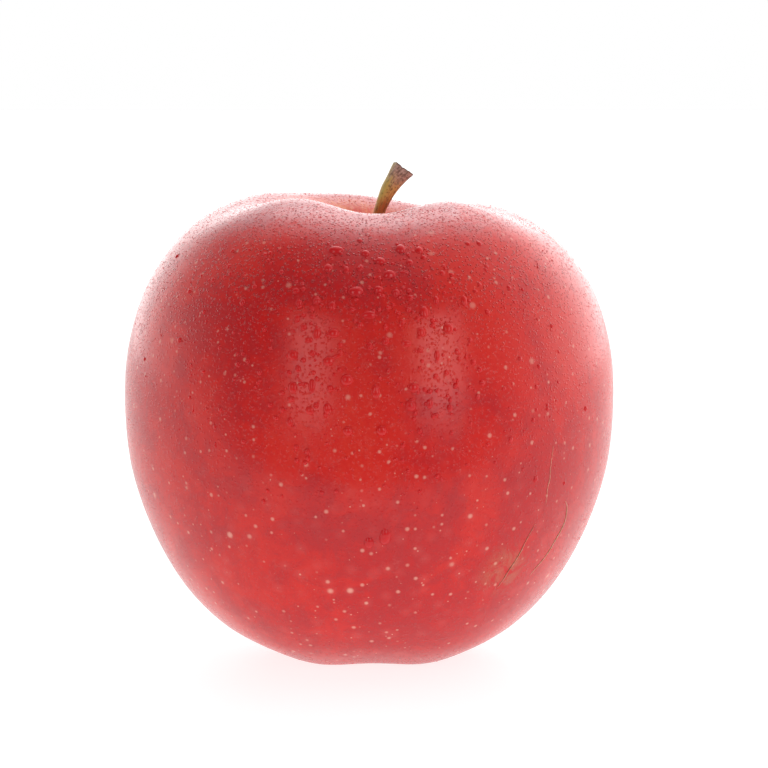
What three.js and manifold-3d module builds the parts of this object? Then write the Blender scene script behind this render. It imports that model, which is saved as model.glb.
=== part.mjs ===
// A red apple, as picked: the fruit with its stem basin and calyx basin, the woody stem in the upper
// basin, and the dried sepals and stamens in the lower one. It stands on the five lobes of its base.
// Units are millimetres and +Z is up. The origin is on the resting plane, under the middle of the
// fruit. Angles are in degrees, from +X towards +Y; the side that faces -Y is the front.
import * as THREE from "three";
import { mergeVertices } from "three/addons/utils/BufferGeometryUtils.js";
import Module from "manifold-3d";

const wasm = await Module();
wasm.setup();

// Driving dimensions
const FRUIT_RADIUS = 43.1; // mean radius at the widest level
const SHOULDER_HEIGHT = 80.2; // mean height of the rim round the stem basin
const TOUCHING_GAP = 0.3; // clearance between pieces that touch in a real apple

// The fruit's side from the floor of the stem basin, over the shoulder and down to the floor of the
// calyx basin, as shares of the radius and of the shoulder height.
const SIDE = [
  [0.0, 0.818],
  [0.06, 0.828],
  [0.144, 0.885],
  [0.267, 0.955],
  [0.429, 0.999],
  [0.587, 0.989],
  [0.761, 0.934],
  [0.907, 0.828],
  [0.986, 0.695],
  [1.004, 0.561],
  [0.977, 0.415],
  [0.888, 0.274],
  [0.759, 0.155],
  [0.601, 0.069],
  [0.441, 0.022],
  [0.33, 0.006],
  [0.241, 0.015],
  [0.162, 0.055],
  [0.084, 0.095],
  [0.0, 0.107],
];
const STEPS_ALONG_SIDE = 48;
const STEPS_AROUND = 84;

// The rim isn't level: each wave is [waves round the rim, height, angle of a crest].
const RIM_WAVES = [
  [1, 0.86, -167],
  [2, 0.46, -53],
  [3, 0.26, -9],
  [4, 0.52, 43],
  [5, 0.55, 20],
];
const TOP_LEAN = 0.3; // how far the shoulder sits towards +X of the base
const LOBES = 5;
const LOBE_ANGLE = 20; // the angle of one lobe
const LOBE_DROP = 0.32; // how far a lobe of the base reaches below the mean, and a valley above it
const BASE_DROP = 0.32; // how far the mean of the base is let down, so that the lobes are cut flat
const FLUTE_DEPTH = 0.5; // how far the calyx basin follows the lobes beyond that
const LOBE_SWELL = 0.3; // how far a lobe stands out of the cheek's lower half
const CHEEK_WAVES = [
  // unevenness of the girth, in the same form
  [2, 0.22, 35],
  [3, 0.16, -70],
];

// The stem: its centre line from the root in the flesh to the broken end, then its radius there.
const STEM_LINE = [
  [-0.5, 0.1, 60.5],
  [-0.25, 0.0, 66.0],
  [0.45, -0.1, 73.0],
  [1.7, 0.0, 78.4],
  [3.5, 0.3, 82.8],
  [6.1, 0.6, 86.4],
];
const STEM_RADII = [1.05, 1.25, 0.98, 0.95, 1.32, 1.74];
const STEM_SIDES = 14;
const STEM_RINGS = 26;
const STEM_RIDGE = 0.07; // depth of the three ridges along the stem
const STEM_SPUR = 0.2; // how far the flared end is drawn out to one side
const STEM_DISH = 0.45; // how far the middle of the broken face lies below its torn rim

// The calyx: a tube in the flesh, a collar in it that carries the sepals, and the stamens inside.
const TUBE_RADIUS = 2.3;
const TUBE_TOP = 13.2;
const COLLAR_RADIUS = TUBE_RADIUS - TOUCHING_GAP;
const COLLAR_BORE = 1.25;
const COLLAR_TOP = 11.4;
const COLLAR_FOOT = 7.2;
const SEPALS = 5;
const SEPAL_LINE = [
  // [distance from the axis, height] from the collar to the curled tip
  [1.6, 8.4],
  [2.15, 6.4],
  [3.0, 4.7],
  [4.5, 3.7],
  [5.5, 4.0],
];
const SEPAL_WIDTH = 2.5;
const SEPAL_THICKNESS = 0.6;
const SEPAL_FOLD = 0.35; // how far the midrib stands behind the edges
const STAMENS = 9;
const STAMEN_LENGTH = 5.2;
const STAMEN_RADIUS = 0.3;
const STAMEN_LEAN = 11; // degrees from the axis; those in the middle lean a third of it
const STAMENS_IN_MIDDLE = 2;
const STAMEN_TURN = 137.5; // from each stamen to the next, so that no two line up
const STAMEN_SHORTENING = 0.08; // each of four in turn is shorter by this share
const STAMEN_CORE_RADIUS = COLLAR_BORE - TOUCHING_GAP;
const STAMEN_CORE_FOOT = 7.6;
const ANTHER_RADIUS = 0.45;
const ANTHER_STRETCH = 1.5;

const radians = THREE.MathUtils.degToRad;
const ease = (value, low, high) => THREE.MathUtils.smoothstep(value, low, high);

// Sum of waves round the axis, at an angle in radians.
function waveSum(waves, angle) {
  let sum = 0;
  for (const [count, size, crest] of waves) sum += size * Math.cos(count * (angle - radians(crest)));
  return sum;
}

// Where a point of the plain side, at a distance from the axis and a height, lies on the uneven fruit.
function placeOnFruit(distance, height, angle) {
  const onRim = ease(distance, 2, 15) * ease(height, 40, 79);
  const onFoot = ease(distance, 4, 14) * (1 - ease(height, 0, 34));
  const inBasin = ease(distance, 3, 8) * (1 - ease(distance, 9, 14)) * (1 - ease(height, 8, 20));
  const onCheek = ease(distance, 12, 34);
  const lobe = Math.cos(LOBES * (angle - radians(LOBE_ANGLE)));
  const swell = LOBE_SWELL * lobe * (1 - ease(height, 10, 60)) + waveSum(CHEEK_WAVES, angle);
  const drop = onFoot * (BASE_DROP + LOBE_DROP * lobe) + inBasin * FLUTE_DEPTH * lobe;
  const radius = distance + onCheek * swell;
  return new THREE.Vector3(
    radius * Math.cos(angle) + TOP_LEAN * ease(height, 45, 82),
    radius * Math.sin(angle),
    height + onRim * waveSum(RIM_WAVES, angle) - drop,
  );
}

// Moves every vertex of a geometry to where a function puts it.
function reshape(geometry, place) {
  const position = geometry.getAttribute("position");
  const vertex = new THREE.Vector3();
  for (let i = 0; i < position.count; i++) {
    vertex.fromBufferAttribute(position, i);
    const moved = place(vertex);
    position.setXYZ(i, moved.x, moved.y, moved.z);
  }
  return geometry;
}

function solidOf(geometry) {
  const bare = geometry.clone().deleteAttribute("normal").deleteAttribute("uv");
  const merged = mergeVertices(bare, 1e-4);
  return new wasm.Manifold(
    new wasm.Mesh({
      numProp: 3,
      vertProperties: new Float32Array(merged.getAttribute("position").array),
      triVerts: new Uint32Array(merged.index.array),
    }),
  );
}

function geometryOf(solid) {
  const { numProp, numVert, vertProperties, triVerts } = solid.getMesh();
  const points = new Float32Array(numVert * 3);
  for (let i = 0; i < numVert; i++) {
    points.set(vertProperties.subarray(i * numProp, i * numProp + 3), i * 3);
  }
  const geometry = new THREE.BufferGeometry();
  geometry.setAttribute("position", new THREE.BufferAttribute(points, 3));
  geometry.setIndex(new THREE.BufferAttribute(new Uint32Array(triVerts), 1));
  geometry.computeVertexNormals();
  return geometry;
}

// The fruit as grown: the side turned about the axis, then made uneven.
function fruitSurface() {
  const side = new THREE.SplineCurve(
    SIDE.map(([across, up]) => new THREE.Vector2(across * FRUIT_RADIUS, up * SHOULDER_HEIGHT)),
  );
  // A lathe turns about its own Y axis, with its faces out where the outline runs upwards.
  const outline = side.getPoints(STEPS_ALONG_SIDE).reverse();
  const lathe = new THREE.LatheGeometry(outline, STEPS_AROUND).rotateX(Math.PI / 2);
  return reshape(lathe, ({ x, y, z }) => placeOnFruit(Math.hypot(x, y), z, Math.atan2(y, x)));
}

// The stem, or the space it takes when it is given room all round.
function stemSurface(room = 0) {
  const line = new THREE.CatmullRomCurve3(STEM_LINE.map((point) => new THREE.Vector3(...point)));
  const radii = new THREE.CatmullRomCurve3(STEM_RADII.map((radius, i) => new THREE.Vector3(radius, i, 0)));
  const bar = new THREE.CylinderGeometry(1, 1, 1, STEM_SIDES, STEM_RINGS);
  return reshape(bar, ({ x, y, z }) => {
    const along = y + 0.5;
    const centre = line.getPoint(along);
    const tangent = line.getTangent(along);
    const right = new THREE.Vector3(1, 0, 0).addScaledVector(tangent, -tangent.x).normalize();
    const back = new THREE.Vector3().crossVectors(tangent, right);
    const angle = Math.atan2(-z, x);
    const onSide = Math.hypot(x, z);
    const atEnd = ease(along, 0.86, 1);
    const dish = STEM_DISH * (1 - onSide) * (along > 0.99 ? 1 : 0);
    const spur = STEM_SPUR * atEnd * Math.max(0, Math.cos(angle)) ** 3;
    const radius = radii.getPoint(along).x - STEM_RIDGE * (1 - Math.cos(3 * angle + 1)) + spur + room;
    return centre
      .addScaledVector(right, onSide * radius * Math.cos(angle))
      .addScaledVector(back, onSide * radius * Math.sin(angle))
      .addScaledVector(tangent, -dish);
  });
}

// A round bar on the axis from one height to another, with a radius at each end.
function uprightBar(lowRadius, highRadius, low, high, sides) {
  const bar = new THREE.CylinderGeometry(highRadius, lowRadius, high - low, sides);
  return bar.rotateX(Math.PI / 2).translate(0, 0, (low + high) / 2);
}

// The fruit, standing on its lobes, with a hole for the stem's root and the calyx tube.
function fruitGeometry() {
  const above = new THREE.BoxGeometry(200, 200, 200).translate(0, 0, 100);
  const tube = uprightBar(TUBE_RADIUS, TUBE_RADIUS, 0, TUBE_TOP, 24);
  return geometryOf(
    solidOf(fruitSurface())
      .intersect(solidOf(above))
      .subtract(solidOf(stemSurface(TOUCHING_GAP)))
      .subtract(solidOf(tube)),
  );
}

// One sepal: a pointed blade, folded a little along its midrib, that follows the sepal line.
function sepalSurface(turn) {
  const line = new THREE.SplineCurve(SEPAL_LINE.map((point) => new THREE.Vector2(...point)));
  const blade = new THREE.BoxGeometry(1, 1, 1, 4, 10, 1);
  return reshape(blade, ({ x, y, z }) => {
    const along = y + 0.5;
    const centre = line.getPoint(along);
    const tangent = line.getTangent(along);
    const width = SEPAL_WIDTH * (0.65 + 1.4 * along) * (1.12 - along) ** 0.8;
    const lift = SEPAL_THICKNESS * z + SEPAL_FOLD * (1 - Math.abs(2 * x)) * Math.sin(Math.PI * along);
    return new THREE.Vector3(centre.x - tangent.y * lift, -x * width, centre.y + tangent.x * lift);
  }).rotateZ(turn);
}

// The collar and the five sepals that grow from it, as one solid.
function sepalsGeometry() {
  const collar = solidOf(uprightBar(COLLAR_RADIUS, COLLAR_RADIUS, COLLAR_FOOT, COLLAR_TOP, 20));
  const bore = solidOf(uprightBar(COLLAR_BORE, COLLAR_BORE, 0, COLLAR_TOP + 1, 20));
  let whole = collar;
  for (let i = 0; i < SEPALS; i++) {
    whole = whole.add(solidOf(sepalSurface(radians(LOBE_ANGLE + (360 / SEPALS) * i))));
  }
  return geometryOf(whole.subtract(bore));
}

// One stamen: a thin filament that hangs out of the collar, with a small anther at its end.
function stamenSolid(lean, turn, length) {
  const filament = new THREE.CylinderGeometry(STAMEN_RADIUS, STAMEN_RADIUS, length, 6);
  const anther = new THREE.SphereGeometry(ANTHER_RADIUS, 6, 4).scale(1, ANTHER_STRETCH, 1);
  anther.translate(0, -length / 2, 0);
  const place = (geometry) =>
    geometry
      .translate(0, -length / 2, 0)
      .rotateX(Math.PI / 2)
      .rotateY(-lean)
      .rotateZ(turn)
      .translate(0, 0, STAMEN_CORE_FOOT + 1);
  return solidOf(place(filament)).add(solidOf(place(anther)));
}

// The dried stamens, on the core that fills the collar.
function stamensGeometry() {
  const top = TUBE_TOP - TOUCHING_GAP;
  let whole = solidOf(uprightBar(STAMEN_CORE_RADIUS, STAMEN_CORE_RADIUS, STAMEN_CORE_FOOT, top, 12));
  for (let i = 0; i < STAMENS; i++) {
    const lean = radians(i < STAMENS_IN_MIDDLE ? STAMEN_LEAN / 3 : STAMEN_LEAN);
    const length = STAMEN_LENGTH * (1 - STAMEN_SHORTENING * (i % 4));
    whole = whole.add(stamenSolid(lean, radians(i * STAMEN_TURN), length));
  }
  return geometryOf(whole);
}

function namedMesh(name, geometry, colour, roughness) {
  const material = new THREE.MeshStandardMaterial({ color: colour, roughness, metalness: 0 });
  const mesh = new THREE.Mesh(geometry, material);
  mesh.name = name;
  return mesh;
}

const apple = new THREE.Group();
apple.add(
  namedMesh("fruit", fruitGeometry(), 0xbf2724, 0.32),
  namedMesh("stem", geometryOf(solidOf(stemSurface())), 0x8a6a35, 0.7),
  namedMesh("sepals", sepalsGeometry(), 0x6b5a3c, 0.8),
  namedMesh("stamens", stamensGeometry(), 0x3f2a1a, 0.85),
);
// The uneven fruit's box is brought over the origin.
const box = new THREE.Box3().setFromObject(apple.getObjectByName("fruit"));
apple.position.set(-(box.min.x + box.max.x) / 2, -(box.min.y + box.max.y) / 2, 0);

export default apple;
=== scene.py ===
# A red apple as it stands on a table: waxy streaked skin, a torn woody stem, the dried calyx under the
# base, and the water drops and mist that lie on the skin. Shapes are worked out in millimetres, in the
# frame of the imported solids: +Z up, the side that faces -Y to the front, angles from +X towards +Y.
import math
import random

import bmesh
import bpy
from mathutils import Matrix, Vector, noise
from mathutils.bvhtree import BVHTree


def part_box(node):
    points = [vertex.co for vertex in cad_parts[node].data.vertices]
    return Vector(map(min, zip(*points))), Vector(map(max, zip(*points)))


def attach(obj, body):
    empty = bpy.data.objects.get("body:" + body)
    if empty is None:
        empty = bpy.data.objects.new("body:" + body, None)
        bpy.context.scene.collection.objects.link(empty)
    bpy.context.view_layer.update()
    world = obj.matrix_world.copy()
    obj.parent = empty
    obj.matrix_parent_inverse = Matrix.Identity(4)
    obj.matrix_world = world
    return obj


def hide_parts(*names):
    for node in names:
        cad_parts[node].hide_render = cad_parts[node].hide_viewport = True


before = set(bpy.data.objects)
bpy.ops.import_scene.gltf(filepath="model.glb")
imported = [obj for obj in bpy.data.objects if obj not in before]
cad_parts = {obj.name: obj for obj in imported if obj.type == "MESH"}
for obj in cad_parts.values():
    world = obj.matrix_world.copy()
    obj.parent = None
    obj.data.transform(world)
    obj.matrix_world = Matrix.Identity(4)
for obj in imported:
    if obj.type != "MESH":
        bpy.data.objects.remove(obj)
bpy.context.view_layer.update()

MM = 0.001

# The fruit's side, from the floor of the stem basin over the shoulder to the floor of the calyx basin,
# as shares of the radius and of the shoulder height.
FRUIT_RADIUS = 43.1
SHOULDER_HEIGHT = 80.2
SIDE = [
    (0.0, 0.818), (0.06, 0.828), (0.144, 0.885), (0.267, 0.955), (0.429, 0.999),
    (0.587, 0.989), (0.761, 0.934), (0.907, 0.828), (0.986, 0.695), (1.004, 0.561),
    (0.977, 0.415), (0.888, 0.274), (0.759, 0.155), (0.601, 0.069), (0.441, 0.022),
    (0.33, 0.006), (0.241, 0.015), (0.162, 0.055), (0.084, 0.095), (0.0, 0.107),
]
# Waves round the core in the shoulder's height and in the cheeks: count, size in mm, a crest's degrees.
RIM_WAVES = [(1, 0.86, -167), (2, 0.46, -53), (3, 0.26, -9), (4, 0.52, 43), (5, 0.55, 20)]
CHEEK_WAVES = [(2, 0.22, 35), (3, 0.16, -70)]
TOP_LEAN = 0.3
LOBES = 5
LOBE_ANGLE = 20
LOBE_DROP = 0.32
BASE_DROP = 0.32
FLUTE_DEPTH = 0.5
LOBE_SWELL = 0.3
# Where the waves, the lobes, the flutes of the calyx basin and the lean set in or fade out, in millimetres
# out from the core or up.
RIM_OUT, RIM_UP = (2, 15), (40, 79)
FOOT_OUT, FOOT_UP = (4, 14), (0, 34)
FLUTES_START, FLUTES_STOP, FLUTES_UP = (3, 8), (9, 14), (8, 20)
SWELL_OUT, SWELL_UP = (12, 34), (10, 60)
LEAN_UP = (45, 82)

STEM_LINE = [
    (-0.5, 0.1, 60.5), (-0.25, 0.0, 66.0), (0.45, -0.1, 73.0),
    (1.7, 0.0, 78.4), (3.5, 0.3, 82.8), (6.1, 0.6, 86.4),
]
STEM_RADII = [1.05, 1.25, 0.98, 0.95, 1.32, 1.74]

# The camera: 600 mm in front of the core, a little above the shoulder, looking slightly down.
EYE = Vector((2.6, -600.0, 111.2))
EYE_PITCH = 6.007
LENS = 159.19
SENSOR_WIDTH = 36.0

NEARBY = 0.01


def ease(value, low, high):
    """0 below low, 1 above high and a smooth step between."""
    share = min(1.0, max(0.0, (value - low) / (high - low)))
    return share * share * (3 - 2 * share)


def wave_sum(waves, angle):
    """How high the waves stand together at an angle round the core."""
    return sum(size * math.cos(count * (angle - math.radians(crest))) for count, size, crest in waves)


def along(points, share):
    """A point at a share of the way along a smooth curve through the given points."""
    last = len(points) - 1
    at = min(max(share, 0.0), 1.0) * last
    start = min(int(at), last - 1)
    t = at - start
    p0, p1, p2, p3 = (Vector(points[min(max(start + i, 0), last)]) for i in (-1, 0, 1, 2))
    out, into = (p2 - p0) / 2, (p3 - p1) / 2
    return (2 * p1 - 2 * p2 + out + into) * t**3 + (3 * p2 - 3 * p1 - 2 * out - into) * t**2 + out * t + p1


def heading(line, share):
    """The direction of a smooth curve at a share of the way along it."""
    return (along(line, share + NEARBY) - along(line, share - NEARBY)).normalized()


def place_on_fruit(across, up, angle):
    """Where a point of the plain side lies on the uneven fruit."""
    on_rim = ease(across, *RIM_OUT) * ease(up, *RIM_UP)
    on_foot = ease(across, *FOOT_OUT) * (1 - ease(up, *FOOT_UP))
    in_basin = ease(across, *FLUTES_START) * (1 - ease(across, *FLUTES_STOP)) * (1 - ease(up, *FLUTES_UP))
    lobe = math.cos(LOBES * (angle - math.radians(LOBE_ANGLE)))
    swell = LOBE_SWELL * lobe * (1 - ease(up, *SWELL_UP)) + wave_sum(CHEEK_WAVES, angle)
    drop = on_foot * (BASE_DROP + LOBE_DROP * lobe) + in_basin * FLUTE_DEPTH * lobe
    radius = across + ease(across, *SWELL_OUT) * swell
    height = up + on_rim * wave_sum(RIM_WAVES, angle) - drop
    lean = TOP_LEAN * ease(up, *LEAN_UP)
    return Vector((radius * math.cos(angle) + lean, radius * math.sin(angle), max(0.0, height)))


def finished_piece(name, bm, finish, replaces=()):
    """Makes a smooth piece of a mesh in millimetres, at the origin and riding on the apple's one body."""
    bmesh.ops.scale(bm, vec=(MM, MM, MM), verts=bm.verts)
    mesh = bpy.data.meshes.new(name)
    bm.to_mesh(mesh)
    bm.free()
    mesh.polygons.foreach_set("use_smooth", [True] * len(mesh.polygons))
    mesh.materials.append(finish)
    piece = bpy.data.objects.new(name, mesh)
    bpy.context.scene.collection.objects.link(piece)
    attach(piece, "root")
    if replaces:
        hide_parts(*replaces)
    return piece


# Pieces

FRUIT_STEPS_ALONG = 150
FRUIT_STEPS_AROUND = 288
WELD = 1e-4


# For putting the plain fruit's points in order: how far apart the steps round the core are kept, and the part
# of a step that keeps rounding from moving a point to the step before.
STEP_APART = 1000
PART_STEP = 0.25


def order_on_fruit(point):
    """A number for a point of the plain fruit: by its step round the core, then by its height."""
    out = point.xy.length
    step = 0.0 if out < WELD else math.atan2(point.y, point.x) / (2 * math.pi) * FRUIT_STEPS_AROUND
    return math.floor(step + PART_STEP) * STEP_APART + point.z + out / STEP_APART


def fruit_mesh():
    """The skin: the side turned about the core, made uneven, and set into the solid fruit's box."""
    side = [(share * FRUIT_RADIUS, height * SHOULDER_HEIGHT) for share, height in SIDE]
    bm = bmesh.new()
    outline = [along(side, i / FRUIT_STEPS_ALONG) for i in range(FRUIT_STEPS_ALONG + 1)]
    verts = [bm.verts.new((point.x, 0, point.y)) for point in outline]
    edges = [bm.edges.new(pair) for pair in zip(verts, verts[1:])]
    bmesh.ops.spin(
        bm, geom=verts + edges, cent=(0, 0, 0), axis=(0, 0, 1), dvec=(0, 0, 0),
        angle=2 * math.pi, steps=FRUIT_STEPS_AROUND, use_merge=True,
    )
    bmesh.ops.remove_doubles(bm, verts=bm.verts, dist=WELD)
    # The spin leaves its faces in another order each run, and the strewn drops are drawn by face number.
    bm.verts.sort(key=lambda vert: order_on_fruit(vert.co))
    bm.faces.sort(key=lambda face: order_on_fruit(face.calc_center_median()))
    for vert in bm.verts:
        vert.co = place_on_fruit(vert.co.xy.length, vert.co.z, math.atan2(vert.co.y, vert.co.x))
    bmesh.ops.recalc_face_normals(bm, faces=bm.faces)
    low, high = (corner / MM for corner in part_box("fruit"))
    for axis in range(3):
        own = [vert.co[axis] for vert in bm.verts]
        own_low, own_high = min(own), max(own)
        for vert in bm.verts:
            share = (vert.co[axis] - own_low) / (own_high - own_low)
            vert.co[axis] = low[axis] + share * (high[axis] - low[axis])
    return bm


def unit_rod(sides, rings):
    """An upright rod of radius 1 and height 1 about the origin, cut into rings."""
    bm = bmesh.new()
    bmesh.ops.create_cone(
        bm, cap_ends=True, cap_tris=False, segments=sides, radius1=1, radius2=1, depth=1
    )
    upright = [edge for edge in bm.edges if abs(edge.verts[0].co.z - edge.verts[1].co.z) > 0.5]
    bmesh.ops.subdivide_edges(bm, edges=upright, cuts=rings, use_grid_fill=True)
    return bm


STEM_SIDES = 56
STEM_RINGS = 110
# Widths of the rings cut into the end's face; shares of the length where the spurs and the tear begin; and
# how deep the end is hollowed, between two shares of its radius.
END_INSETS = (0.10, 0.30, 0.30, 0.2)
SPURS_FROM = 0.82
TORN_FROM = 0.97
HOLLOW_DEPTH = 0.55
HOLLOW_EDGE = (0.35, 0.952)
BARK = "bark_place"


def bark_relief(angle, share):
    """How far the bark stands out of the plain stem: ridges, knobs, and spurs beside the torn end."""
    spot = Vector((math.cos(angle) * 1.3, math.sin(angle) * 1.3, share * 9))
    knobs = noise.noise(spot) * 0.10 + noise.noise(spot * Vector((4, 4, 0.6))) * 0.05
    ridges = 0.05 + 0.07 * math.cos(3 * angle + 1) + 0.03 * math.cos(11 * angle + 4 * share)
    spurs = 0.2 * max(0.0, math.cos(angle)) ** 3 + 0.35 * max(0.0, -math.cos(angle))
    return ridges + knobs * ease(share, 0.05, 0.3) + spurs * ease(share, SPURS_FROM, 1)


def raggedness(angle, fineness, layer):
    """Noise round the torn end, from -1 to 1."""
    return noise.noise(Vector((math.cos(angle) * fineness, math.sin(angle) * fineness, layer)))


def torn_height(angle, on_side, spot):
    """How far a place on the torn end stands up, ragged at its rim and hollow in its middle."""
    ragged = raggedness(angle, 1.6, 7.3) * 0.3 + raggedness(angle, 6, 1.3) * 0.16
    hollow = HOLLOW_DEPTH * (1 - ease(on_side, *HOLLOW_EDGE))
    pitted = 0.12 * abs(noise.noise(Vector((spot.x, spot.y, 0)) * 5))
    return ragged * ease(on_side, 0.5, 1.0) - hollow - pitted


def stem_mesh():
    """The woody stem: ridged and knobbly, with a torn, hollowed end."""
    bm = unit_rod(STEM_SIDES, STEM_RINGS)
    end = max(bm.faces, key=lambda face: face.calc_center_median().z)
    for width in END_INSETS:
        bmesh.ops.inset_region(bm, faces=[end], thickness=width, depth=0, use_even_offset=True)
    grain = bm.verts.layers.float_vector.new(BARK)
    line = [Vector(point) for point in STEM_LINE]
    radii = [(radius, 0.0, 0.0) for radius in STEM_RADII]
    for vert in bm.verts:
        share = vert.co.z + 0.5
        angle = math.atan2(vert.co.y, vert.co.x)
        on_side = min(1.0, vert.co.xy.length)
        centre = along(line, share)
        tangent = heading(line, share)
        right = (Vector((1, 0, 0)) - tangent * tangent.x).normalized()
        back = tangent.cross(right)
        radius = along(radii, share).x + bark_relief(angle, share)
        vert[grain] = (on_side * math.cos(angle), on_side * math.sin(angle), share)
        torn = torn_height(angle, on_side, vert.co) if share > TORN_FROM else 0.0
        outward = right * math.cos(angle) + back * math.sin(angle)
        vert.co = centre + on_side * radius * outward + tangent * torn
    bmesh.ops.recalc_face_normals(bm, faces=bm.faces)
    keep_in_box(bm, "stem")
    return bm


def keep_in_box(bm, node):
    """Brings in any vertex that stands out of a solid's box."""
    low, high = (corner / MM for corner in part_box(node))
    for vert in bm.verts:
        for axis in range(3):
            vert.co[axis] = min(max(vert.co[axis], low[axis]), high[axis])


# How far a strewn drop is moved from its face's middle, in millimetres; a drop's share below the skin; and
# the least slope, below which a drop hangs towards the front.
NUDGE = 0.6
SUNK = 0.35
LEAST_SLOPE = 0.05


class Skin:
    """The finished skin, for laying things on it."""

    def __init__(self, piece):
        mesh = piece.data
        self.tree = BVHTree.FromPolygons([vert.co / MM for vert in mesh.vertices],
                                         [list(face.vertices) for face in mesh.polygons])
        self.centres = [face.center / MM for face in mesh.polygons]
        self.normals = [face.normal.copy() for face in mesh.polygons]
        self.areas = [face.area / MM**2 for face in mesh.polygons]

    def in_front(self, across, up):
        """The skin in front of a point over the core: place, normal, nearness and line of sight."""
        over_core = Vector((across, 0, up))
        gaze = (over_core - EYE).normalized()
        point, normal, _, distance = self.tree.ray_cast(EYE, gaze)
        return point, normal, distance / (over_core - EYE).length, gaze

    def scattered(self, count, density, draw):
        """Points and normals strewn over the skin, more where the density is higher."""
        weights = [area * density(centre, normal)
                   for area, centre, normal in zip(self.areas, self.centres, self.normals)]
        spots = []
        for index in draw.choices(range(len(weights)), weights, k=count):
            nudge = Vector((draw.uniform(-1, 1), draw.uniform(-1, 1), draw.uniform(-1, 1))) * NUDGE
            point, normal, _, _ = self.tree.find_nearest(self.centres[index] + nudge)
            spots.append((point, normal))
        return spots


def lie_on(point, normal, wide, tall, high, turn):
    """The transform that lays a unit ball on the skin as a drop, partly sunk and tall along the slope."""
    down = Vector((0, 0, -1)) + normal * normal.z
    down = down.normalized() if down.length > LEAST_SLOPE else Vector((0, -1, 0))
    down.rotate(Matrix.Rotation(math.radians(turn), 3, normal))
    side = down.cross(normal)
    axes = Matrix((side * wide / 2, down * tall / 2, normal * high)).transposed().to_4x4()
    return Matrix.Translation(point - normal * high * SUNK) @ axes


FRUIT_BOX = [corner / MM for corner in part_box("fruit")]


def stays_inside(point, room):
    """True where a drop of that size doesn't stand out of the solid fruit's box."""
    low, high = FRUIT_BOX
    return all(low[axis] + room < point[axis] < high[axis] - room for axis in (0, 1)) and point.z > room


# A large drop's height as a share of its width, how uneven it is, and the least share by which a drop on a
# turned side is drawn out to look as tall as in the photograph.
DOME = 0.40
WOBBLE = 0.12
LEAST_FACING = 0.45
# Drops seen on the front, in millimetres over the core: across, up, width, height, and turn in degrees.
LARGE_DROPS = [
    (-5.9, 71.9, 3.2, 1.4, 0), (-0.7, 71.3, 1.8, 1.2, 0), (1.9, 70.0, 2.1, 1.4, 0),
    (5.5, 72.1, 2.1, 1.6, 0), (8.8, 71.9, 1.6, 1.4, 0), (7.1, 69.7, 1.4, 1.2, 0),
    (-7.3, 68.7, 1.8, 1.6, 0), (-4.1, 68.4, 1.1, 1.4, 0), (-1.5, 68.8, 1.1, 1.2, 0),
    (3.5, 67.6, 2.5, 1.8, 0), (6.1, 68.0, 2.1, 0.6, 0), (12.9, 67.8, 1.1, 1.2, 0),
    (-2.4, 64.6, 3.0, 1.9, 0), (1.6, 64.9, 1.9, 1.6, 0), (4.7, 64.3, 1.6, 1.6, 0),
    (16.8, 62.9, 1.2, 2.1, 0), (9.7, 60.9, 1.8, 2.3, 0), (14.0, 58.0, 2.1, 2.1, 0),
    (2.9, 55.7, 1.4, 1.6, 0), (0.1, 54.8, 1.2, 1.6, 0), (-9.3, 57.1, 1.6, 2.3, 0),
    (-6.4, 57.1, 2.3, 1.8, 0), (-12.5, 62.5, 1.4, 1.4, 0), (-13.0, 64.7, 1.4, 1.1, 0),
    (-9.3, 62.9, 1.6, 1.4, 0), (-12.8, 59.7, 1.2, 1.6, 0), (-11.7, 58.2, 1.4, 1.4, 0),
    (-6.6, 62.0, 1.4, 1.8, 0), (-10.8, 55.9, 1.6, 1.1, 0), (-13.6, 53.2, 2.1, 1.9, 0),
    (-10.1, 53.6, 1.4, 1.1, 0), (-7.3, 52.2, 2.3, 1.8, 20), (-5.7, 53.1, 2.5, 0.9, 25),
    (-12.7, 50.8, 1.2, 1.4, 0), (-14.3, 50.1, 1.2, 0.9, 0), (-13.6, 47.4, 1.8, 2.1, 0),
    (-10.2, 47.7, 1.4, 2.7, 0), (-7.0, 47.3, 1.2, 1.4, 0), (-4.0, 48.8, 2.5, 2.3, 15),
    (1.1, 46.7, 1.8, 2.7, 0), (-13.9, 45.4, 1.6, 1.1, 0), (-10.6, 43.3, 1.8, 1.6, 0),
    (-7.5, 43.6, 1.6, 2.1, 0), (-9.4, 44.5, 1.1, 0.7, 0), (-14.2, 41.2, 1.4, 1.6, 0),
    (-3.9, 39.6, 1.9, 1.8, 0), (7.9, 47.4, 2.3, 1.8, 0), (7.3, 44.2, 2.5, 1.9, -40),
    (10.7, 44.5, 1.4, 1.9, 0), (2.2, 39.7, 2.1, 2.1, 0), (6.6, 55.3, 2.1, 1.4, 0),
    (9.2, 57.3, 1.6, 1.8, 0), (-0.1, 60.4, 2.8, 1.6, 0), (3.3, 61.6, 1.1, 1.1, 0),
    (12.0, 53.1, 1.2, 2.1, 0), (14.3, 43.8, 1.2, 1.4, 0), (20.9, 60.9, 1.1, 1.1, 0),
    (2.8, 20.6, 2.3, 3.0, 0), (-0.1, 19.5, 1.8, 2.1, 0), (9.0, 54.1, 1.2, 1.2, 0),
    (15.6, 53.8, 1.1, 1.2, 0), (17.9, 55.9, 1.1, 1.1, 0), (19.6, 50.6, 1.1, 1.1, 0),
    (-1.7, 58.6, 1.1, 1.2, 0), (-3.1, 61.3, 1.2, 1.2, 0), (-5.2, 55.0, 1.1, 1.1, 0),
    (5.8, 59.1, 1.2, 1.4, 0), (7.2, 63.4, 1.4, 1.2, 0), (11.8, 63.0, 1.2, 1.6, 0),
]


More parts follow.
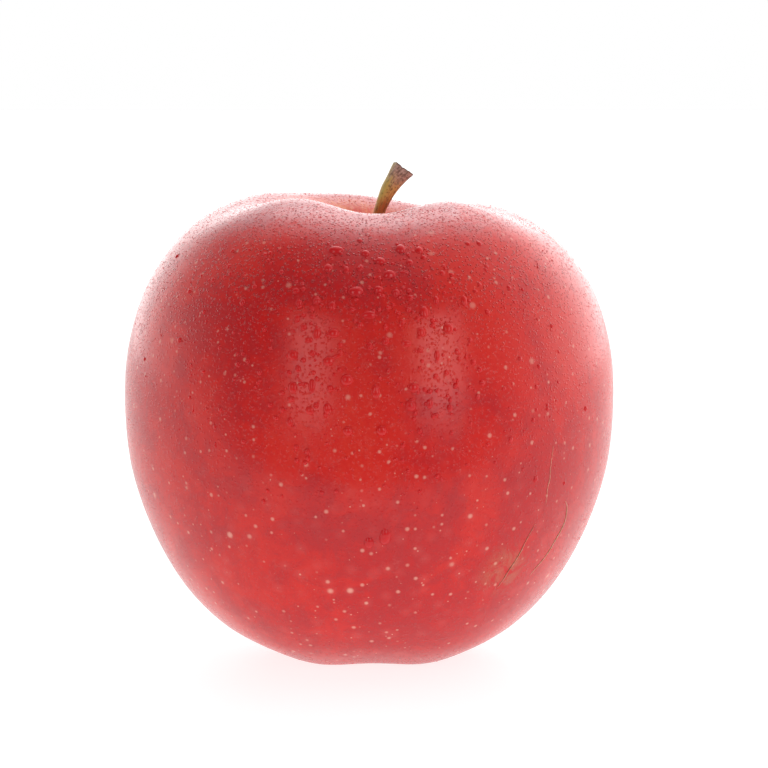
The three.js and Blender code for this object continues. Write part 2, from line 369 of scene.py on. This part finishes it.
def large_drops(skin):
    """The drops that can be told apart, each a dome that hangs a little."""
    bm = bmesh.new()
    for across, up, wide, tall, turn in LARGE_DROPS:
        point, normal, nearness, gaze = skin.in_front(across, up)
        facing = max(LEAST_FACING, -normal.dot(gaze))
        wide, tall = wide * nearness, tall * nearness / facing
        place = lie_on(point, normal, wide, tall, DOME * min(wide, tall), turn)
        ball = bmesh.ops.create_icosphere(bm, subdivisions=3, radius=1, matrix=place)["verts"]
        for vert in ball:
            vert.co = point + (vert.co - point) * (1 + WOBBLE * noise.noise(vert.co * 0.9))
    return bm


# Where the water starts and stops, in millimetres up, to the right or out from the core, and by how much
# the skin faces up. Shares of drops that lie elsewhere too.
DROPS_FROM, DROPS_TO, DROPS_ELSEWHERE = (30, 50), (72, 77), 0.002
FACING_UP, MIST_OUT, MIST_ELSEWHERE = (0.20, 0.75), (13, 19), 0.04
LOW_RIGHT_ACROSS, LOW_RIGHT_FROM, LOW_RIGHT_TO, LOW_RIGHT_SHARE = (26, 38), (4, 9), (22, 34), 0.3
FOOT_MIST_TO, FOOT_MIST_OUT, FOOT_MIST_SHARE = (2, 5), (15, 18), 0.25


def upper_front(centre, _):
    """Where the small drops gather: over the upper front, thinning out round the sides."""
    turned = 0.5 - 0.5 * centre.y / max(1.0, centre.xy.length)
    return ease(centre.z, *DROPS_FROM) * (DROPS_ELSEWHERE + turned**12) * (1 - ease(centre.z, *DROPS_TO))


def on_shoulders(centre, normal):
    """Where the mist lies: on what faces up, and some on the lower right side and round the foot."""
    low_right = ease(centre.x, *LOW_RIGHT_ACROSS) * (1 - ease(centre.z, *LOW_RIGHT_TO))
    low_right *= ease(centre.z, *LOW_RIGHT_FROM)
    near_foot = (1 - ease(centre.z, *FOOT_MIST_TO)) * ease(centre.xy.length, *FOOT_MIST_OUT)
    share = MIST_ELSEWHERE + ease(normal.z, *FACING_UP)
    share = share + LOW_RIGHT_SHARE * low_right + FOOT_MIST_SHARE * near_foot
    return ease(centre.xy.length, *MIST_OUT) * share


SMALL_DOME = 0.38
LEAST_ROOM = 0.45
BATCH = 40


def strewn_drops(skin, count, density, smallest, largest, sides, seed):
    """Small drops of chance sizes, few faces each, made in batches because a long mesh grows slowly."""
    draw = random.Random(seed)
    whole = bmesh.new()
    part = bmesh.new()
    for number, (point, normal) in enumerate(skin.scattered(count, density, draw)):
        size = smallest + (largest - smallest) * draw.random() ** 2.5
        tall = size * draw.uniform(0.85, 1.2)
        if not stays_inside(point, LEAST_ROOM * size):
            continue
        place = lie_on(point, normal, size, tall, SMALL_DOME * size, draw.uniform(-20, 20))
        bmesh.ops.create_uvsphere(part, u_segments=sides, v_segments=sides // 2 + 1, radius=1, matrix=place)
        if number % BATCH == BATCH - 1:
            append(whole, part)
    append(whole, part)
    part.free()
    return whole


# Healed cracks in the skin at the lower right, as points in millimetres over the core: across, up.
CRACKS = [
    [
        (34.9, 27.0), (35.2, 25.8), (34.9, 23.7), (34.2, 21.9),
        (33.1, 19.9), (31.7, 17.5), (30.1, 15.5), (28.7, 13.7),
    ],
    [(29.6, 23.0), (28.5, 21.0), (27.2, 18.4), (26.2, 16.5), (24.9, 14.6), (23.9, 12.8), (22.8, 11.4)],
    [(32.7, 37.1), (32.3, 33.9), (32.1, 31.2), (31.7, 29.1), (31.4, 26.4)],
]
# A seam's radius for each crack, and how far it lies beside the crack's middle.
LIP_RADII, LIP_ASIDE = [0.12, 0.04, 0.05], -0.1
# The cleft seam is a dark ribbon for the crack's groove: partly dark cork, partly painted shade.
CLEFT_RADII, CLEFT_ASIDE = [0.06, 0.09, 0.025], 0.1
# The least thickness left at a seam's ends, how far it wavers in millimetres, and its height by its width.
SEAM_TIP = 0.15
SEAM_WAVER = 0.15
SEAM_FLATNESS = 0.6
SEAM_SIDES = 6
SEAM_RINGS = 60


def seams(skin, radii, aside):
    """Thin seams along the cracks, half sunk in the skin and running out to nothing at both ends."""
    whole = bmesh.new()
    for seen, radius in zip(CRACKS, radii):
        line = [skin.in_front(across, up)[0] for across, up in seen]
        part = unit_rod(SEAM_SIDES, SEAM_RINGS)
        for vert in part.verts:
            share = vert.co.z + 0.5
            centre, normal, _, _ = skin.tree.find_nearest(along(line, share))
            side = heading(line, share).cross(normal)
            thick = radius * max(SEAM_TIP, math.sin(math.pi * share)) ** 0.5
            thick *= 1 + 0.5 * noise.noise(centre * 1.3)
            waver = aside + SEAM_WAVER * noise.noise(centre * 0.5)
            raised = normal * vert.co.y * thick * SEAM_FLATNESS
            vert.co = centre + side * (waver + vert.co.x * thick) + raised
        append(whole, part)
    bmesh.ops.recalc_face_normals(whole, faces=whole.faces)
    return whole


def append(whole, part):
    """Adds a part's faces to the whole and empties the part."""
    mesh = bpy.data.meshes.new("part")
    part.to_mesh(mesh)
    part.clear()
    whole.from_mesh(mesh)
    bpy.data.meshes.remove(mesh)


# Finishes

SCARLET = (0.73, 0.016, 0.011)
CRIMSON = (0.60, 0.010, 0.012)
MAROON = (0.46, 0.020, 0.026)
ORANGE_RED = (0.82, 0.052, 0.022)
WET_RED = (0.72, 0.010, 0.016)
PEACH = (0.88, 0.24, 0.09)
STRAW = (0.62, 0.50, 0.18)
ROSE = (0.76, 0.095, 0.085)
PORE = (0.95, 0.44, 0.34)
RUSSET = (0.66, 0.32, 0.16)
# The pale pink of a painted sheen: the reflection of the bright back, painted on top of the shoulder.
PAINTED_SHEEN = (0.92, 0.55, 0.58)
# Middle, reach and depth of set patches that darken the skin's tone; a depth below 0 lightens it. They are
# partly the skin's mottling and partly painted shade and light: the darker patches over the upper front and
# upper left are painted shade.
TONE_AND_SHADING_PATCHES = [
    ((0, -34, 70), 16, 0.40),
    ((-24, -32, 62), 20, 0.30),
    ((11, -41, 58), 9, -0.40),
    ((-1, -43, 44), 12, -0.35),
    ((-28, -33, 50), 9, -0.30),
    ((-10, -41, 33), 8, 0.30),
    ((12, -40, 20), 14, -0.20),
    ((4, -34, 14), 34, 0.35),
    ((34, -28, 40), 22, 0.25),
]
RUSSET_SPOT = (23.5, -30, 19)
RUSSET_REACH = 7.0
MIST_HEIGHT = 0.20
# Noises in the skin: patches to a millimetre, detail, roughness and swirl.
CLOUDS = (0.05, 3.0, 0.55, 1.0)
MARBLING = (0.20, 7.0, 0.68, 1.6)
GRAIN = (1.5, 3.0, 0.7, 0.6)
# Streaks from stem to base: how fine they are round the core, their length in millimetres, and detail.
BROAD_STREAKS = (8, 26, 2.0)
FINE_STREAKS = (26, 5, 3.0)
# Dots in the skin: spacing, smallest and largest radius in millimetres, and the shift of their pattern.
PORES = (3.4, 0.20, 0.85, 3.0)
SPECKS = (1.5, 0.10, 0.55, 31.0)
BEADS = (0.52, 0.18, 0.30, 57.0)
# Where each change in the skin starts and is complete, in millimetres out from the core or up.
STEM_BASIN_OUT, STEM_BASIN_UP = (18.5, 13.0), (60.0, 66.0)
CALYX_BASIN_OUT, CALYX_BASIN_UP = (14.0, 5.0), (16.0, 12.0)
LOW_DOWN_UP = (66.0, 14.0)
# The painted sheen on top of the shoulder sets in over these heights.
PAINTED_SHEEN_UP = (74.0, 81.0)
MIST_UP = (56.0, 72.0)
BASIN_EDGE, SHOULDER_EDGE = 13.0, 18.0
# How much deeper water makes the skin's colour.
WATER_DEPTH = 0.5

GREEN_BARK = (0.50, 0.46, 0.11)
TAN_BARK = (0.58, 0.36, 0.11)
PALE_BARK = (0.74, 0.66, 0.36)
RED_BARK = (0.36, 0.12, 0.025)
GREY_BARK = (0.52, 0.38, 0.31)
DARK_BARK = (0.09, 0.04, 0.02)
FIBRE = (0.72, 0.62, 0.48)
# Where the bark's colours change, as shares of the stem's length.
RED_UP_TO, GREY_FROM, END_FROM = (0.76, 0.62), (0.80, 0.93), (0.985, 0.995)

SEPAL_PALE, SEPAL_DARK = (0.36, 0.27, 0.15), (0.10, 0.06, 0.03)
STAMEN_PALE, STAMEN_DARK = (0.20, 0.12, 0.05), (0.05, 0.025, 0.012)
LIP_PALE, LIP_DARK = (0.80, 0.48, 0.34), (0.50, 0.26, 0.12)
# The cleft's browns are partly dark cork and partly painted shade of the crack's groove.
CLEFT_PALE, CLEFT_DARK = (0.30, 0.07, 0.03), (0.10, 0.03, 0.015)


class Value:
    """One socket of a finish. A sum written with it adds its Math nodes."""

    def __init__(self, finish, socket):
        self.finish = finish
        self.socket = socket

    def _math(self, operation, first, second):
        return self.finish.node("Math", {"operation": operation}, {0: first, 1: second})

    def __add__(self, other):
        return self._math("ADD", self, other)

    def __sub__(self, other):
        return self._math("SUBTRACT", self, other)

    def __rsub__(self, other):
        return self._math("SUBTRACT", other, self)

    def __mul__(self, other):
        return self._math("MULTIPLY", self, other)

    def __truediv__(self, other):
        return self._math("DIVIDE", self, other)

    def __pow__(self, other):
        return self._math("POWER", self, other)

    __radd__ = __add__
    __rmul__ = __mul__

    def step(self, low, high):
        """0 below low, 1 above high and a smooth step between; the other way round if low is the larger."""
        ends = {"Value": self, "From Min": low, "From Max": high}
        return self.finish.node("MapRange", {"interpolation_type": "SMOOTHSTEP"}, ends)


class Finish:
    """A material made of nodes, with its Principled shader and an Output."""

    def __init__(self, name, tree=None):
        if tree is None:
            self.material = bpy.data.materials.new(name)
            self.material.use_nodes = True
            tree = self.material.node_tree
            tree.nodes.clear()
        self.tree = tree

    def node(self, kind, settings=None, values=None, out=0):
        """Adds a node: its settings first, then a value or a link for each named or numbered socket."""
        made = self.tree.nodes.new("ShaderNode" + kind)
        for name, setting in (settings or {}).items():
            setattr(made, name, setting)
        for name, value in (values or {}).items():
            socket = made.inputs[name]
            if isinstance(value, Value):
                self.tree.links.new(value.socket, socket)
            elif socket.type == "RGBA" and len(value) == 3:
                socket.default_value = (*value, 1.0)
            else:
                socket.default_value = value
        return Value(self, made.outputs[out]) if made.outputs else None

    def place(self):
        """Where a point is on the object, in millimetres."""
        spot = self.node("TexCoord", out="Object")
        return self.node("VectorMath", {"operation": "SCALE"}, {0: spot, "Scale": 1 / MM})

    def parts(self, vector):
        """A vector's three numbers."""
        split = self.node("SeparateXYZ", values={0: vector}).socket.node
        return [Value(self, socket) for socket in split.outputs]

    def vector(self, x, y, z):
        """A vector of three numbers."""
        return self.node("CombineXYZ", values={0: x, 1: y, 2: z})

    def noise(self, vector, scale, detail=2.0, roughness=0.5, swirl=0.0):
        """Smooth noise from 0 to 1 whose patches are about 1/scale across, marbled where it swirls."""
        values = {
            "Vector": vector, "Scale": scale, "Detail": detail, "Roughness": roughness, "Distortion": swirl,
        }
        return self.node("TexNoise", values=values)

    def nearness(self, place, spot, reach):
        """1 at a spot, 0 at the reach and beyond, with a smooth step between."""
        away = self.node("VectorMath", {"operation": "DISTANCE"}, {0: place, 1: spot}, out="Value")
        return away.step(reach, reach * 0.2)

    def blend(self, first, second, share):
        """Two colours mixed: all of the first at share 0, all of the second at 1."""
        return self.node("Mix", {"data_type": "RGBA"}, {0: share, 6: first, 7: second}, out=2)

    def shader(self, **values):
        """The Principled shader, joined to the output. Names are the sockets' own, with _ for a space."""
        sockets = {name.replace("_", " "): value for name, value in values.items()}
        surface = self.node("BsdfPrincipled", values=sockets)
        self.node("OutputMaterial", values={"Surface": surface})
        return self.material


def skin_colour(skin, place):
    """The skin's colour without its pores, with painted shade and light in set patches, and the noises that
    its relief and gloss share.
    """
    x, y, z = skin.parts(place)
    flat = skin.vector(x, y, 0)
    from_core = skin.node("VectorMath", {"operation": "LENGTH"}, {0: flat}, out="Value")
    heading = skin.node("VectorMath", {"operation": "NORMALIZE"}, {0: flat})
    head_x, head_y, _ = skin.parts(heading)

    def streaks(fineness, length, detail):
        """Noise drawn out along the lines that run from stem to base."""
        lines = skin.vector(head_x * fineness, head_y * fineness, z / length)
        return skin.noise(lines, 1.0, detail)

    clouds = skin.noise(place, *CLOUDS)
    marbling = skin.noise(place, *MARBLING)
    grain = skin.noise(place, *GRAIN)
    broad = streaks(*BROAD_STREAKS)
    fine = streaks(*FINE_STREAKS)

    tone = (clouds - 0.5) * 1.6 + (marbling - 0.5) * 1.5 + (broad - 0.5) * 0.4 + 0.45
    # Painted shade and light: set patches darken or lighten the tone, mixed with the skin's mottling.
    for spot, reach, depth in TONE_AND_SHADING_PATCHES:
        tone = tone + skin.nearness(place, spot, reach) * depth
    ground = skin.blend(SCARLET, CRIMSON, tone.step(0.15, 0.85))
    wine = (fine * 0.25 + marbling * 0.35 + tone * 0.35 + grain * 0.35).step(0.62, 0.95)
    ground = skin.blend(ground, MAROON, wine * 0.5)
    ember = (fine * 0.25 + grain * 0.4 + marbling * 0.5 - tone * 0.2).step(0.45, 0.75)
    ground = skin.blend(ground, ORANGE_RED, ember * 0.45)
    blush = (marbling * 0.45 - fine * 0.2 + grain * 0.6).step(0.46, 0.66)
    ground = skin.blend(ground, ROSE, blush * 0.35)

    in_stem_basin = from_core.step(*STEM_BASIN_OUT) * z.step(*STEM_BASIN_UP)
    in_calyx_basin = (from_core + (marbling - 0.5) * 14).step(*CALYX_BASIN_OUT) * z.step(*CALYX_BASIN_UP)
    fleck = (fine * 0.3 + marbling * 0.6 + grain * 0.5).step(0.55, 0.85)
    ground = skin.blend(ground, skin.blend(PEACH, SCARLET, fleck * 0.85), in_stem_basin)
    ground = skin.blend(ground, skin.blend(STRAW, PEACH, fleck), in_calyx_basin)
    return ground, marbling, grain


def dots(skin, place, spacing, small, large, shift):
    """A soft dot round each scattered point, mostly small, and how far a spot is from its point."""
    shifted = skin.node("VectorMath", {"operation": "ADD"}, {0: place, 1: (shift, shift * 2.3, 0)})
    cell = skin.node("TexVoronoi", values={"Vector": shifted, "Scale": 1 / spacing}).socket.node
    away = Value(skin, cell.outputs["Distance"]) * spacing
    chance, _, _ = skin.parts(Value(skin, cell.outputs["Color"]))
    size = chance ** 3 * (large - small) + small
    edges = {"Value": away, "From Min": size * 0.2, "From Max": size}
    return 1 - skin.node("MapRange", {"interpolation_type": "SMOOTHSTEP"}, edges), away


def skin_finish():
    """Red apple skin: marbled scarlet and maroon with painted shade and light in set patches, pale pores,
    russet by the cracks, a painted pale sheen on top of the shoulder, gloss and fine mist.
    """
    skin = Finish("apple_skin")
    place = skin.place()
    ground, marbling, grain = skin_colour(skin, place)
    x, y, z = skin.parts(place)
    low_down = z.step(*LOW_DOWN_UP)
    outside = (x * x + y * y).step(BASIN_EDGE**2, SHOULDER_EDGE**2)
    pore, away = dots(skin, place, *PORES)
    speck, _ = dots(skin, place, *SPECKS)
    bead, _ = dots(skin, place, *BEADS)
    ground = skin.blend(ground, ROSE, away.step(1.6, 0.3) * low_down * 0.25)
    ground = skin.blend(ground, PORE, pore * (0.35 + 0.45 * low_down))
    ground = skin.blend(ground, PORE, speck * (0.45 + 0.20 * low_down))
    scurf = skin.nearness(place, RUSSET_SPOT, RUSSET_REACH) * marbling.step(0.40, 0.60)
    ground = skin.blend(ground, RUSSET, scurf * 0.28)

    # Painted sheen: the pale reflection of the bright back, painted on top of the shoulder between the mist
    # beads.
    painted_sheen = z.step(*PAINTED_SHEEN_UP) * outside * (grain * 0.6 + marbling * 0.5).step(0.38, 0.62)
    ground = skin.blend(ground, PAINTED_SHEEN, painted_sheen * (1 - bead) * 0.5)

    misted = (0.25 + 0.75 * z.step(*MIST_UP)) * outside
    relief = grain * 0.06 + pore * 0.06 + marbling * 0.10 + bead * misted
    bump = skin.node("Bump", values={"Strength": 1.0, "Distance": MIST_HEIGHT * MM, "Height": relief})
    return skin.shader(
        Base_Color=ground,
        Roughness=0.17 + 0.10 * marbling + 0.15 * pore,
        Normal=bump,
        IOR=1.45,
    )


def water_finish():
    """Water on the skin, not see-through: the skin's colour with its painted shade and light, a deeper red,
    under a smooth gloss.
    """
    water = Finish("water_on_skin")
    ground, _, _ = skin_colour(water, water.place())
    ground = water.blend(ground, WET_RED, WATER_DEPTH)
    return water.shader(Base_Color=ground, Roughness=0.03, IOR=1.42)


def seam_finish(name, pale, dark):
    """Healed skin along a crack: corky, from pale to dark. On the cleft seam the dark is partly dark cork and
    partly painted shade of the crack's groove.
    """
    cork = Finish(name)
    place = cork.place()
    patches = cork.noise(place, 1.2, 4.0, 0.65)
    bump = cork.node("Bump", values={"Strength": 0.6, "Distance": 0.05 * MM, "Height": patches})
    colour = cork.blend(pale, dark, patches.step(0.40, 0.65))
    return cork.shader(Base_Color=colour, Roughness=0.6 + 0.3 * patches, Normal=bump)


def stem_finish():
    """Bark that is green on one side, red-brown low down, grey and torn at the end."""
    bark = Finish("stem_bark")
    place = bark.place()
    across, back, share = bark.parts(bark.node("Attribute", {"attribute_name": BARK}, out="Vector"))
    lines = bark.vector(across * 5, back * 5, share * 7)
    grain = bark.noise(lines, 1.0, 4.0, 0.65)
    flecks = bark.noise(place, 2.0, 4.0, 0.65)
    at_top = share.step(*GREY_FROM)
    colour = bark.blend(TAN_BARK, GREEN_BARK, ((grain - 0.5) * 0.9 - across * 0.7).step(-0.35, 0.45))
    colour = bark.blend(colour, RED_BARK, (share - across * 0.06 + (grain - 0.5) * 0.3).step(*RED_UP_TO))
    colour = bark.blend(colour, GREY_BARK, (share + (grain - 0.5) * 0.2).step(*GREY_FROM))
    cracked = (flecks * 0.7 + grain * 0.6 + at_top * 0.08).step(0.62, 0.84)
    colour = bark.blend(colour, DARK_BARK, cracked * 0.75)
    colour = bark.blend(colour, PALE_BARK, (across * -1).step(0.55, 0.95) * 0.6)
    out_from_middle = bark.node(
        "VectorMath", {"operation": "LENGTH"}, {0: bark.vector(across, back, 0)}, out="Value"
    )
    at_end = share.step(*END_FROM)
    colour = bark.blend(colour, DARK_BARK, at_end * out_from_middle.step(0.5, 0.85))
    colour = bark.blend(colour, FIBRE, at_end * out_from_middle.step(0.8, 0.4) * grain.step(0.4, 0.7))
    bump = bark.node("Bump", values={"Strength": 0.6, "Distance": 0.15 * MM, "Height": grain + flecks})
    return bark.shader(Base_Color=colour, Roughness=0.55 + 0.3 * flecks, Normal=bump)


def dried_finish(name, pale, dark):
    """Dry, downy calyx: papery and brown, with darker veins."""
    dry = Finish(name)
    place = dry.place()
    veins = dry.noise(place, 1.5, 4.0, 0.7)
    down = dry.noise(place, 6.0, 2.0)
    colour = dry.blend(pale, dark, (veins * 0.7 + down * 0.4).step(0.35, 0.75))
    bump = dry.node("Bump", values={"Strength": 0.7, "Distance": 0.1 * MM, "Height": veins + down * 0.6})
    return dry.shader(Base_Color=colour, Roughness=0.75 + 0.2 * down, Normal=bump)


# The stage

FLOOR_HALF = 2.0
FLOOR_FRONT = 0.11
FLOOR_DROP = 0.05 * MM
# The surround's light from the front, the sides and the back, and where each share of it sets in, by a
# direction's parts: backward (turned a little to the right), rightward and upward, from -1 to 1.
FRONT_LIGHT = 0.28
SIDE_LIGHT = 1.45
BACK_LIGHT = 0.65
OVERHEAD_DIM = 0.12
LEFT_DIM = 0.45
TURN = 0.1
SIDE_FROM, BACK_FROM = (-0.6, 0.4), (0.45, 0.75)
OVERHEAD_FROM, LEFT_FROM = (0.0, 0.5), (0.1, -0.4)
# Name, degrees round from the camera to the right, degrees up, width and height in metres, watts.
SOFT_BOXES = [
    ("soft_box_right", 33, 14, 0.42, 0.95, 2.9),
    ("soft_box_left", -27, 14, 0.38, 0.95, 2.2),
    ("soft_box_top", 180, 52, 0.60, 0.35, 0.9),
]
LAMP_DISTANCE = 1.2
AIM = Vector((0, 0, 0.045))


def build_floor():
    """A plain pale sheet that ends just in front of the apple, so that it isn't mirrored in its front."""
    bm = bmesh.new()
    bmesh.ops.create_grid(bm, x_segments=1, y_segments=1, size=FLOOR_HALF)
    bmesh.ops.translate(bm, verts=bm.verts, vec=(0, FLOOR_HALF - FLOOR_FRONT, -FLOOR_DROP))
    mesh = bpy.data.meshes.new("floor")
    bm.to_mesh(mesh)
    bm.free()
    floor = bpy.data.objects.new("floor", mesh)
    bpy.context.scene.collection.objects.link(floor)
    paper = Finish("white_floor")
    mesh.materials.append(paper.shader(
        Base_Color=(0.3, 0.3, 0.3), Roughness=0.5, IOR=1.12,
        Emission_Color=(1.0, 1.0, 1.0), Emission_Strength=0.82,
    ))


def build_surround():
    """A surround that looks white, and lights the apple most from behind and least from the front left."""
    world = bpy.data.worlds.new("surround")
    world.use_nodes = True
    world.node_tree.nodes.clear()
    bpy.context.scene.world = world
    air = Finish("surround", world.node_tree)
    rightward, backward, upward = air.parts(air.node("TexCoord", out="Generated"))
    turned = backward + rightward * TURN
    level = FRONT_LIGHT + SIDE_LIGHT * turned.step(*SIDE_FROM) + BACK_LIGHT * turned.step(*BACK_FROM)
    dimmed = OVERHEAD_DIM + LEFT_DIM * rightward.step(*LEFT_FROM)
    light = level * (1 - upward.step(*OVERHEAD_FROM) * dimmed)
    seen = air.node("LightPath", out="Is Camera Ray")
    strength = seen + (1 - seen) * light
    glow = air.node("Background", values={"Color": (1, 1, 1, 1), "Strength": strength})
    air.node("OutputWorld", values={"Surface": glow})


def build_lamps():
    """Three soft boxes: two that show in the gloss of the front, and one over the back of the shoulder."""
    for name, azimuth, elevation, wide, tall, power in SOFT_BOXES:
        lamp = bpy.data.lights.new(name, "AREA")
        lamp.shape = "RECTANGLE"
        lamp.size = wide
        lamp.size_y = tall
        lamp.energy = power
        box = bpy.data.objects.new(name, lamp)
        turn, lift = math.radians(azimuth), math.radians(elevation)
        away = Vector((math.sin(turn) * math.cos(lift), -math.cos(turn) * math.cos(lift), math.sin(lift)))
        box.location = AIM + LAMP_DISTANCE * away
        box.rotation_euler = (-away).to_track_quat("-Z", "Y").to_euler()
        bpy.context.scene.collection.objects.link(box)


def build_camera():
    """The camera at the photograph's view."""
    lens = bpy.data.cameras.new("camera")
    lens.lens = LENS
    lens.sensor_width = SENSOR_WIDTH
    camera = bpy.data.objects.new("camera", lens)
    camera.location = EYE * MM
    camera.rotation_euler = (math.radians(90 - EYE_PITCH), 0, 0)
    bpy.context.scene.collection.objects.link(camera)
    bpy.context.scene.camera = camera
    bpy.context.scene.view_settings.view_transform = "Standard"


build_camera()
build_floor()
build_surround()
build_lamps()
fruit = finished_piece("fruit_skin", fruit_mesh(), skin_finish(), ("fruit",))
finished_piece("stem_bark", stem_mesh(), stem_finish(), ("stem",))
sepal = dried_finish("dried_sepal", SEPAL_PALE, SEPAL_DARK)
stamen = dried_finish("dried_stamen", STAMEN_PALE, STAMEN_DARK)
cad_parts["sepals"].data.materials[0] = sepal
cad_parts["stamens"].data.materials[0] = stamen
skin = Skin(fruit)
water = water_finish()
finished_piece("large_drops", large_drops(skin), water)
drops = strewn_drops(
    skin, count=800, density=upper_front, smallest=0.30, largest=1.2, sides=8, seed=5
)
finished_piece("small_drops", drops, water)
mist = strewn_drops(
    skin, count=6000, density=on_shoulders, smallest=0.14, largest=0.32, sides=5, seed=11
)
finished_piece("mist", mist, water)
lip = seam_finish("crack_lip", LIP_PALE, LIP_DARK)
# The cleft's finish is partly dark cork and partly painted shade of the crack's groove.
cleft = seam_finish("crack_cleft", CLEFT_PALE, CLEFT_DARK)
finished_piece("crack_lips", seams(skin, LIP_RADII, LIP_ASIDE), lip)
finished_piece("crack_clefts", seams(skin, CLEFT_RADII, CLEFT_ASIDE), cleft)
